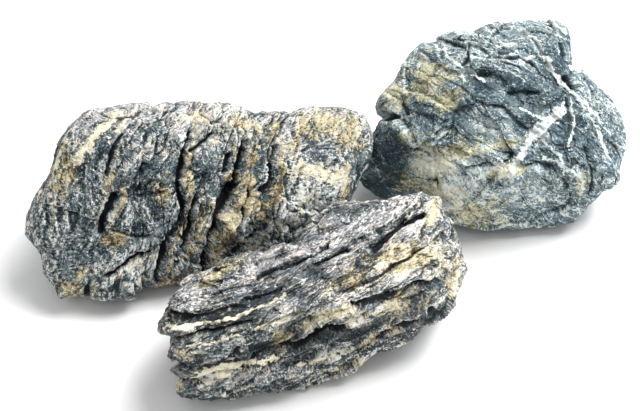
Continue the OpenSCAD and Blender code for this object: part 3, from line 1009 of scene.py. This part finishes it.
class VeinedStoneSettings(bpy.types.PropertyGroup):
    """The rounded stone behind on the right"""

    __annotations__ = stone_settings(
        heart=(102, 58, 52), skew=0.0, front=50, back=64, seed=47, cells=(164, 130, 95),
        fibre=(6, 3.6, 4.5), thread=(20, 8, 12), blush_from=0.75, contrast=0.8, bumps=0.6,
        rims=0.1, dark=(0.026, 0.050, 0.062), middle=(0.134, 0.194, 0.218),
        light=(0.40, 0.45, 0.45), blush=(1.0, 0.99, 0.99), vein=(0.82, 0.88, 0.85),
        crust_pale=(0.86, 0.84, 0.68), crust=(0.54, 0.52, 0.33),
        crust_dark=(0.13, 0.14, 0.075), soil=(0.010, 0.014, 0.015))


class LayeredStoneSettings(bpy.types.PropertyGroup):
    """The low stone in front"""

    __annotations__ = stone_settings(
        heart=(-13, -73, 34), skew=0.3, front=52, back=46, seed=83, cells=(188, 120, 84),
        fibre=(7, 2.4, 5), thread=(16, 4.5, 10), blush_from=0.45, contrast=1.0, bumps=0.55,
        rims=0.3, dark=(0.011, 0.019, 0.024), middle=(0.096, 0.122, 0.127),
        light=(0.35, 0.35, 0.355), blush=(1.0, 0.92, 0.93), vein=(0.85, 0.85, 0.78),
        crust_pale=(0.91, 0.85, 0.64), crust=(0.58, 0.50, 0.31),
        crust_dark=(0.11, 0.085, 0.045), soil=(0.004, 0.006, 0.009))


class StageSettings(bpy.types.PropertyGroup):
    """Floor, lights and camera"""

    target: lengths_prop("Target", "Point that the camera and the lamp face", (-10, 4, 35))
    elevation: number_prop("Elevation", "Camera's height above level", radians(42),
                           subtype="ANGLE")
    distance: length_prop("Distance", "Camera's distance from its target", 0.7467)
    lens: number_prop("Lens", "Focal length, millimetres", 70.0)
    sensor: number_prop("Sensor", "Sensor's width, millimetres", 36.0)
    floor_size: length_prop("Floor", "Half the floor's width", 4.0)
    floor_colour: colour_prop("Floor colour", "Colour of the floor", (0.93, 0.93, 0.93))
    fleck_colour: colour_prop("Fleck colour", "Colour of the floor's flecks", (0.8, 0.8, 0.8))
    sky: number_prop("Surround", "Strength of the surrounding light", 0.68)
    lamp_place: lengths_prop("Lamp place", "Middle of the lamp", (720, 300, 1380))
    lamp_size: length_prop("Lamp size", "Width of the square lamp", 1.0)
    lamp_power: number_prop("Lamp", "Power of the lamp, watts", 38.0)


SHAPES = {
    LEFT_STONE: {
        "outline": FISSURED_OUTLINE, "facets": FISSURED_FACETS, "clefts": FISSURED_CLEFTS,
        "patches": FISSURED_PATCHES, "shades": FISSURED_SHADES, "veins": FISSURED_VEINS,
        "half": (103, 58, 50), "overhang": (0.5, -0.25, 0)},
    RIGHT_STONE: {
        "outline": VEINED_OUTLINE, "facets": VEINED_FACETS, "clefts": VEINED_CLEFTS,
        "patches": VEINED_PATCHES, "shades": VEINED_SHADES, "veins": VEINED_VEINS,
        "half": (84, 66, 57), "overhang": (-0.1, -0.5, 0)},
    FRONT_STONE: {
        "outline": LAYERED_OUTLINE, "facets": LAYERED_FACETS, "clefts": LAYERED_CLEFTS,
        "patches": LAYERED_PATCHES, "shades": LAYERED_SHADES, "veins": LAYERED_VEINS,
        "half": (84, 54, 50), "overhang": (0.15, -0.55, 0)},
}


def build_stone(context, name, settings, slot, vein_colour):
    """Makes one stone's mesh and material, and puts it in the place of its CAD node."""
    body = context.scene.stone_body
    lean = body.lean
    shape = SHAPES[name] | {
        "lean": lean, "skew": settings.skew, "seed": settings.seed,
        "heart": np.array(settings.heart) / MM, "front": settings.front / MM,
        "back": settings.back / MM, "fullness": body.fullness, "crispness": body.crispness,
        "facet_fade": body.facet_fade, "foot_gap": body.foot_gap / MM,
        "forward": body.forward, "cells": tuple(settings.cells),
        "up": np.array([-settings.skew * np.sin(lean), np.cos(lean), np.sin(lean)]),
    }
    mesh = stone_mesh(name, shape)
    mesh.materials.append(rock_material(slot, settings, vein_colour))
    stone = bpy.data.objects.new(slot, mesh)
    context.scene.collection.objects.link(stone)
    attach(stone, BODY)
    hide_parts(name)


class STONES_OT_fissured(bpy.types.Operator):
    """Builds the long blocky stone with its open fissures"""

    bl_idname = "stones.fissured"
    bl_label = "Fissured stone"

    def execute(self, context):
        finish = context.scene.stone_fissured
        build_stone(context, LEFT_STONE, finish, "fissured_rock", finish.crust_pale)
        return {"FINISHED"}


class STONES_OT_veined(bpy.types.Operator):
    """Builds the rounded stone with its pale veins"""

    bl_idname = "stones.veined"
    bl_label = "Veined stone"

    def execute(self, context):
        finish = context.scene.stone_veined
        build_stone(context, RIGHT_STONE, finish, "veined_rock", finish.vein)
        return {"FINISHED"}


class STONES_OT_layered(bpy.types.Operator):
    """Builds the low stone with its stack of layers"""

    bl_idname = "stones.layered"
    bl_label = "Layered stone"

    def execute(self, context):
        finish = context.scene.stone_layered
        build_stone(context, FRONT_STONE, finish, "layered_rock", finish.crust_pale)
        return {"FINISHED"}


def add_floor(scene, stage):
    """A square of pale paper, slightly flecked."""
    half = stage.floor_size
    mesh = bpy.data.meshes.new("floor")
    corners = [(-half, -half, 0), (half, -half, 0), (half, half, 0), (-half, half, 0)]
    mesh.from_pydata(corners, [], [(0, 1, 2, 3)])
    material, sheet = new_material("floor_paper")
    paper = sheet.noise(sheet.node("ShaderNodeTexCoord").outputs["Object"], 0.002, 2)
    shade = sheet.mix(sheet.ramp(paper, 0.3, 0.7, 0.0, 0.04), stage.floor_colour,
                      stage.fleck_colour)
    stuff = sheet.node("ShaderNodeBsdfPrincipled", {"Base Color": shade, "Roughness": 0.9})
    sheet.node("ShaderNodeOutputMaterial", {"Surface": stuff.outputs[0]})
    mesh.materials.append(material)
    floor = bpy.data.objects.new("floor", mesh)
    scene.collection.objects.link(floor)


def add_light(scene, stage):
    """A white surround, and one square lamp that faces the target."""
    world = bpy.data.worlds.new("surround")
    world.use_nodes = True
    light = world.node_tree.nodes["Background"]
    light.inputs["Color"].default_value = (1.0, 1.0, 1.0, 1.0)
    light.inputs["Strength"].default_value = stage.sky
    scene.world = world
    scene.view_settings.view_transform = "Standard"
    data = bpy.data.lights.new("key_lamp", "AREA")
    data.size, data.energy = stage.lamp_size, stage.lamp_power
    lamp = bpy.data.objects.new("key_lamp", data)
    lamp.location = stage.lamp_place
    way = Vector(stage.target) - Vector(stage.lamp_place)
    lamp.rotation_euler = way.to_track_quat("-Z", "Y").to_euler()
    scene.collection.objects.link(lamp)


def add_camera(scene, stage):
    """The camera, which looks down at the target from the front."""
    data = bpy.data.cameras.new("camera")
    data.lens, data.sensor_width = stage.lens, stage.sensor
    camera = bpy.data.objects.new("camera", data)
    away = Vector((0, -np.cos(stage.elevation), np.sin(stage.elevation)))
    camera.location = Vector(stage.target) + away * stage.distance
    camera.rotation_euler = (radians(90) - stage.elevation, 0, 0)
    scene.collection.objects.link(camera)
    scene.camera = camera


class STONES_OT_stage(bpy.types.Operator):
    """Builds the floor, the surrounding light, the lamp and the camera"""

    bl_idname = "stones.stage"
    bl_label = "Stage"

    def execute(self, context):
        for add in (add_floor, add_light, add_camera):
            add(context.scene, context.scene.stone_stage)
        return {"FINISHED"}


STEPS = (STONES_OT_stage, STONES_OT_fissured, STONES_OT_veined, STONES_OT_layered)
SETTINGS = {
    "stone_body": StoneBodySettings,
    "stone_fissured": FissuredStoneSettings,
    "stone_veined": VeinedStoneSettings,
    "stone_layered": LayeredStoneSettings,
    "stone_stage": StageSettings,
}


class STONES_PT_panel(bpy.types.Panel):
    """Lists the steps that build the group, and the settings that they read"""

    bl_idname = "STONES_PT_panel"
    bl_label = "Seiryu stone group"
    bl_space_type = "VIEW_3D"
    bl_region_type = "UI"
    bl_category = "Stones"

    def draw(self, context):
        for step in STEPS:
            self.layout.operator(step.bl_idname)
        for name, kind in SETTINGS.items():
            box = self.layout.box()
            box.label(text=kind.__doc__)
            for key in kind.__annotations__:
                box.prop(getattr(context.scene, name), key)


def register():
    for kind in (*SETTINGS.values(), *STEPS, STONES_PT_panel):
        bpy.utils.register_class(kind)
    for name, kind in SETTINGS.items():
        setattr(bpy.types.Scene, name, PointerProperty(type=kind))


def unregister():
    for name in SETTINGS:
        delattr(bpy.types.Scene, name)
    for kind in (STONES_PT_panel, *STEPS, *SETTINGS.values()):
        bpy.utils.unregister_class(kind)


def main():
    register()
    for step in STEPS:
        group, name = step.bl_idname.split(".")
        getattr(getattr(bpy.ops, group), name)()


if __name__ == "__main__":
    main()
